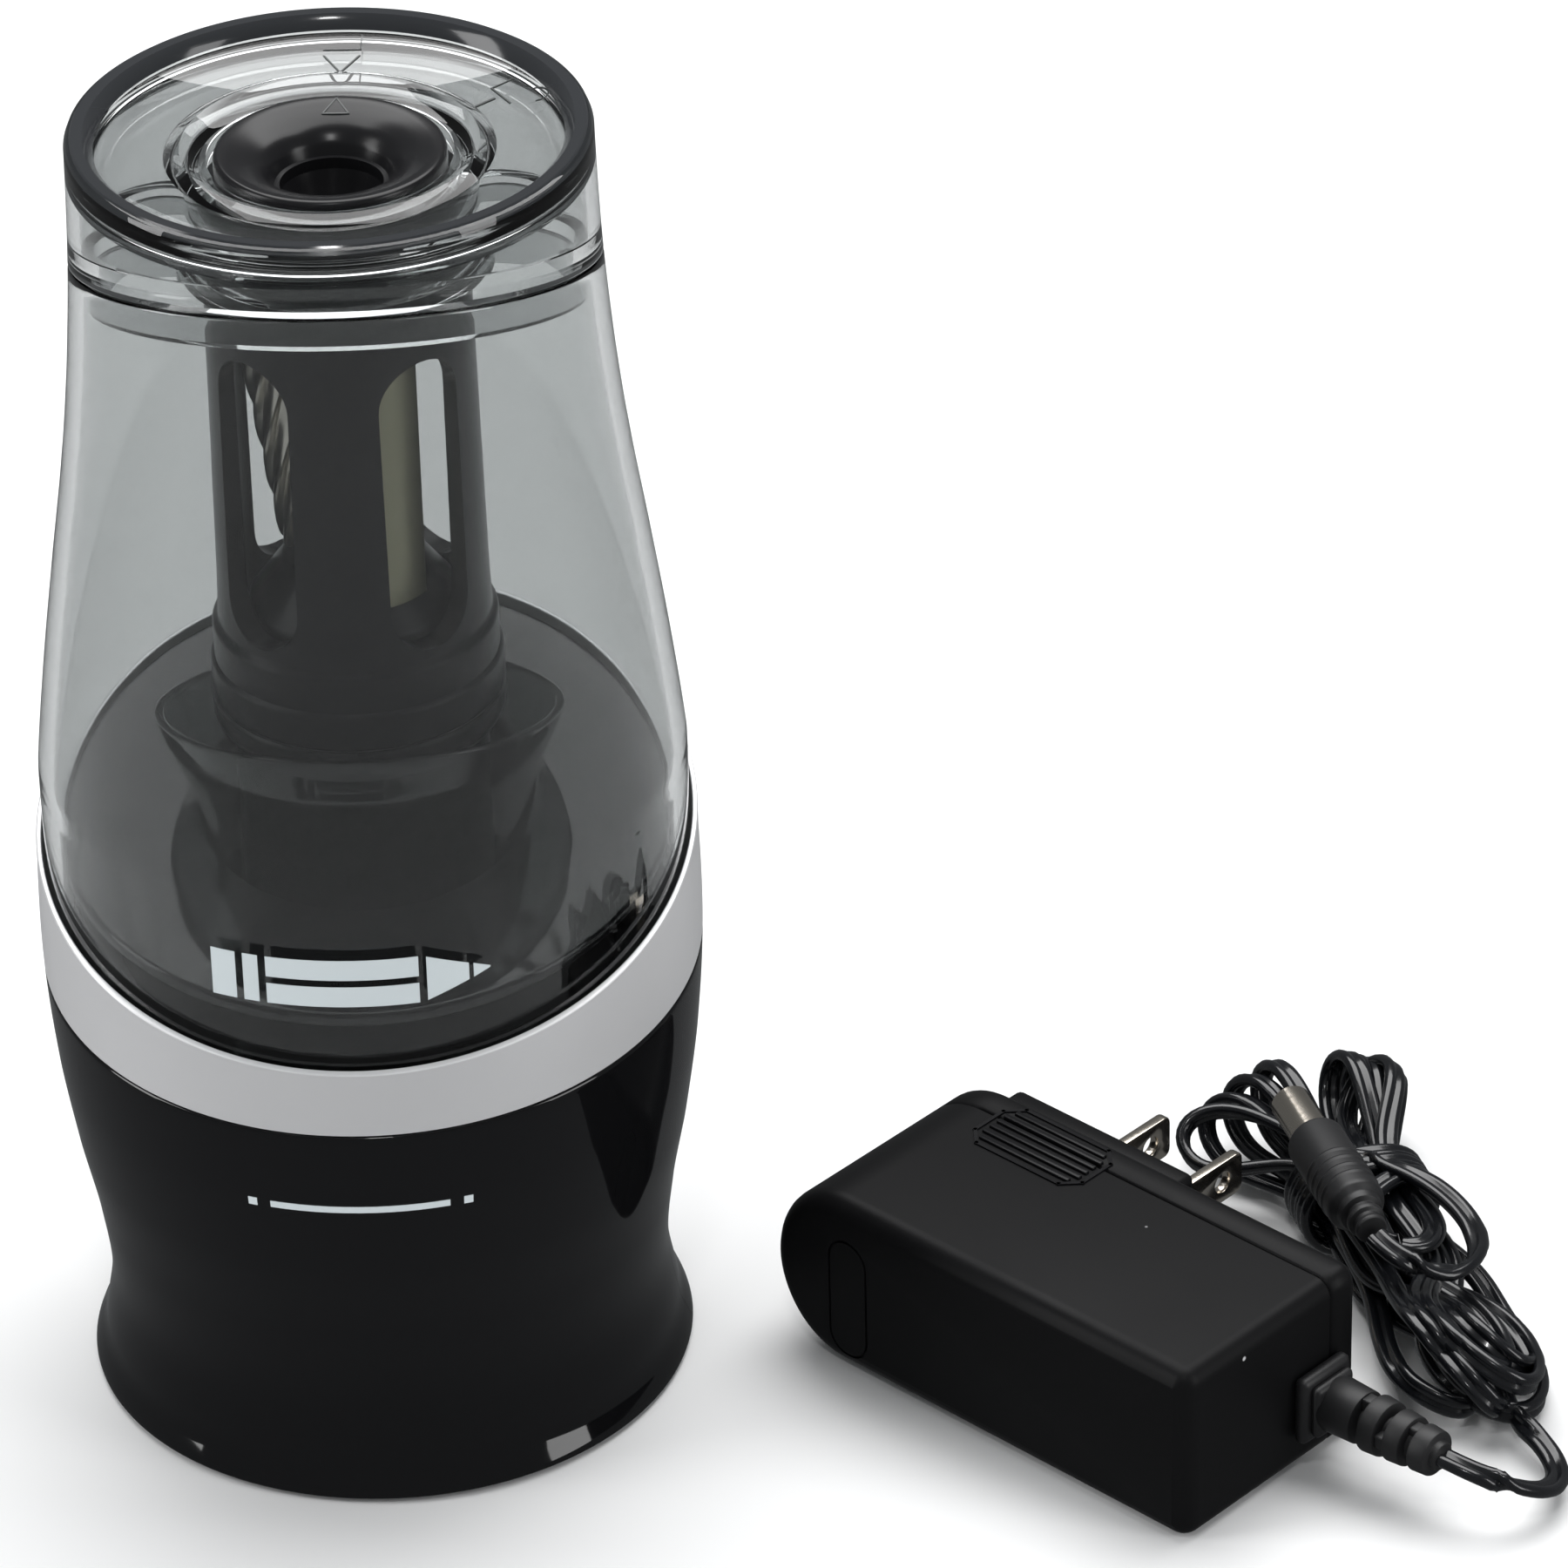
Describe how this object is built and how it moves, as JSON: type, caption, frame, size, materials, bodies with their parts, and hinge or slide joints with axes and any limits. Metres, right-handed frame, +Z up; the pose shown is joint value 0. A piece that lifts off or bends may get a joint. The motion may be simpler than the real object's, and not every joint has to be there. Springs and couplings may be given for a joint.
{
  "type": "pencil sharpener",
  "caption": "Upright mains-powered electric pencil sharpener with a clear twist-off shavings container, a helical cutter in a cage, and a plug-in adapter with its lead in a hank.",
  "frame": {"origin": "on the surface it stands on, under the pencil hole, at the centre of the sharpener's foot", "axes": "+Z up, front towards -Y, wall adapter on the +X side"},
  "size_m": [0.1965, 0.0931, 0.1797],
  "materials": {
    "clear_plastic": "clear pale smoke",
    "smoke_plastic": "dark translucent",
    "gloss_black": "polished moulding",
    "black_plastic": "fine moulded",
    "satin_black": "satin moulded",
    "silver_plastic": "satin silver paint",
    "steel": "plain",
    "tool_steel": "ground",
    "nickel": "plated",
    "zinc_casting": "die cast",
    "brass": "plain",
    "nylon": "natural",
    "circuit_board": "solder mask",
    "rubber": "moulded",
    "cord_sheath": "glossy flexible"
  },
  "bodies": {
    "base": {"front_shell": "gloss_black", "rear_shell": "gloss_black", "bottom_plate": "black_plastic", "screw_front_left": "steel", "screw_front_right": "steel", "screw_rear_right": "steel", "screw_rear_left": "steel", "foot_front": "rubber", "foot_right": "rubber", "foot_rear": "rubber", "foot_left": "rubber", "silver_band": "silver_plastic", "gearbox_plate": "black_plastic", "deck": "black_plastic", "motor_can": "steel", "motor_end_cap": "black_plastic", "idler_axle": "steel", "lower_bush": "brass", "upper_bush": "brass", "power_jack": "black_plastic", "control_board": "circuit_board", "interlock_switch": "black_plastic", "cutter_cage": "black_plastic", "ring_gear": "steel", "pencil_guide": "satin_black"},
    "lock_ring": {"lock_ring": "smoke_plastic"},
    "container": {"receptacle": "clear_plastic", "receptacle_floor": "gloss_black", "shavings_collar": "smoke_plastic", "lid": "clear_plastic"},
    "carrier": {"cutter_carrier": "zinc_casting", "drive_shaft": "steel", "output_gear": "nylon"},
    "cutter": {"helical_cutter": "tool_steel", "cutter_pinion": "steel", "cutter_axle": "steel"},
    "idler": {"idler_gear": "nylon"},
    "rotor": {"motor_shaft": "steel", "motor_pinion": "brass"},
    "plunger": {"interlock_plunger": "nylon"},
    "adapter": {"adapter_front_case": "satin_black", "adapter_back_cover": "satin_black", "blade_left": "nickel", "blade_right": "nickel", "blade_pad": "satin_black", "adapter_board": "circuit_board", "transformer": "zinc_casting", "capacitor": "black_plastic", "strain_relief": "rubber", "adapter_cord": "cord_sheath", "cord_hank": "cord_sheath", "plug_body": "rubber", "plug_barrel": "nickel"}
  },
  "joints": [
    {"name": "container_twist", "type": "hinge", "parent": "base", "child": "lock_ring", "pos_m": [0, 0, 0.062], "axis": [0, 0, 1], "range_deg": [0, 50]},
    {"name": "container_lift", "type": "slide", "parent": "lock_ring", "child": "container", "axis": [0, 0, 1], "range_m": [0, 0.125]},
    {"name": "carrier_spin", "type": "hinge", "parent": "base", "child": "carrier", "pos_m": [0, 0, 0.1], "axis": [0, 0, 1], "continuous": true},
    {"name": "cutter_spin", "type": "hinge", "parent": "carrier", "child": "cutter", "pos_m": [-0.0098, 0, 0.156], "axis": [-0.1392, 0, 0.9903], "continuous": true},
    {"name": "idler_spin", "type": "hinge", "parent": "base", "child": "idler", "pos_m": [0.01105, -0.0157, 0.05], "axis": [0, 0, 1], "continuous": true},
    {"name": "motor_spin", "type": "hinge", "parent": "base", "child": "rotor", "pos_m": [-0.007, -0.01212, 0.05], "axis": [0, 0, 1], "continuous": true},
    {"name": "interlock_press", "type": "slide", "parent": "base", "child": "plunger", "axis": [0, 0, 1], "range_m": [-0.0015, 0], "stiffness_N_per_m": 150, "springref_m": 0.001},
    {"name": "adapter_lift", "type": "slide", "parent": "base", "child": "adapter", "axis": [0, 0, 1], "range_m": [0, 0.05]}
  ],
  "couplings": [
    {"joint": "cutter_spin", "follows": "carrier_spin", "ratio": -4.5},
    {"joint": "idler_spin", "follows": "carrier_spin", "ratio": -3},
    {"joint": "motor_spin", "follows": "carrier_spin", "ratio": 10.8}
  ]
}
